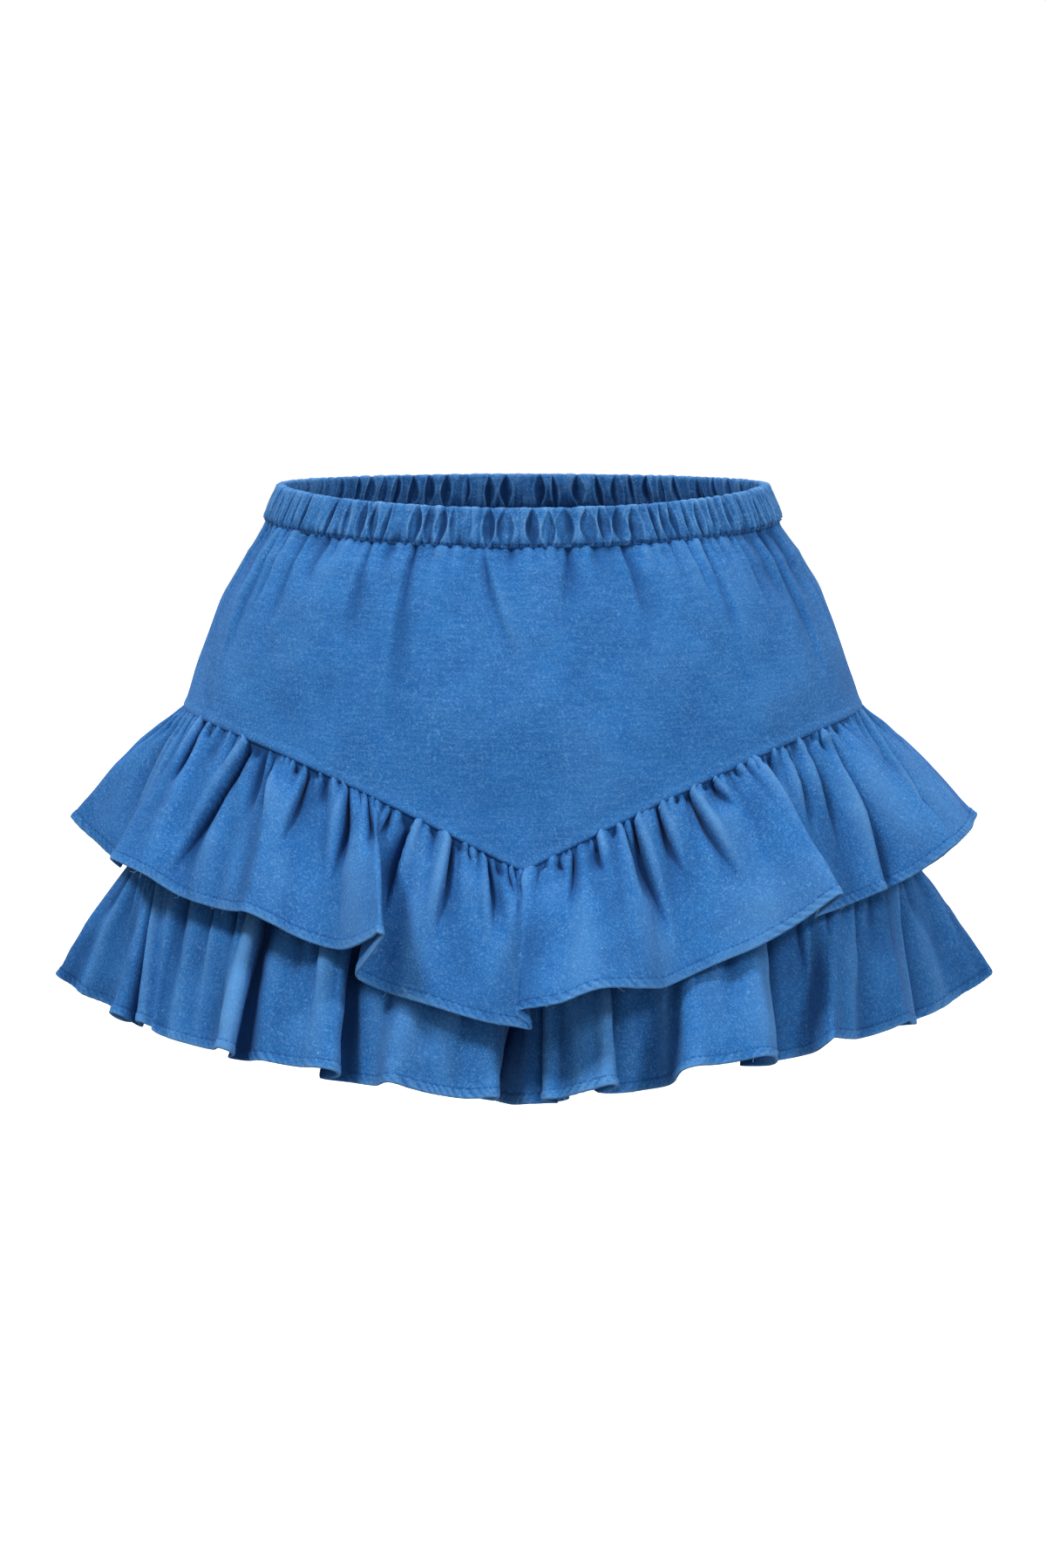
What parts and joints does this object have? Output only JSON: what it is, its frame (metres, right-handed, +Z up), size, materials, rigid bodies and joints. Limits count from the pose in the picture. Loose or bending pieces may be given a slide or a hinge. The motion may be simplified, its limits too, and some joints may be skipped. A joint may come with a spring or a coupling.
{
  "type": "ruffled skort",
  "caption": "Light denim pull-on skort, filled out as worn: gathered elastic waist, smooth yoke with a V seam, a ruffle over it and a ruffled hem on each short leg.",
  "frame": {"origin": "on the waist's vertical axis, inside the waistband's height, 12 mm below its top edge at the sides", "axes": "+Z up through the waist opening, the front faces -Y, +X towards the wearer's left"},
  "size_m": [0.5268, 0.4532, 0.3342],
  "materials": {
    "waistband_denim": "soft light denim, gathered over elastic, worn paler on the ridges",
    "yoke_denim": "soft plain-weave light denim with a faint pale fuzz",
    "ruffle_denim": "soft plain-weave light denim with narrow stitched hems, paler and puckered along the edge",
    "shorts_denim": "soft plain-weave light denim"
  },
  "bodies": {
    "root": {"waistband_left": "waistband_denim", "waistband_right": "waistband_denim", "yoke_front": "yoke_denim", "yoke_back": "yoke_denim", "upper_ruffle_front": "ruffle_denim", "upper_ruffle_back": "ruffle_denim", "shorts_front_left": "shorts_denim", "shorts_back_left": "shorts_denim", "lower_ruffle_left_front": "ruffle_denim", "lower_ruffle_left_back": "ruffle_denim", "shorts_front_right": "shorts_denim", "shorts_back_right": "shorts_denim", "lower_ruffle_right_front": "ruffle_denim", "lower_ruffle_right_back": "ruffle_denim"}
  },
  "joints": []
}
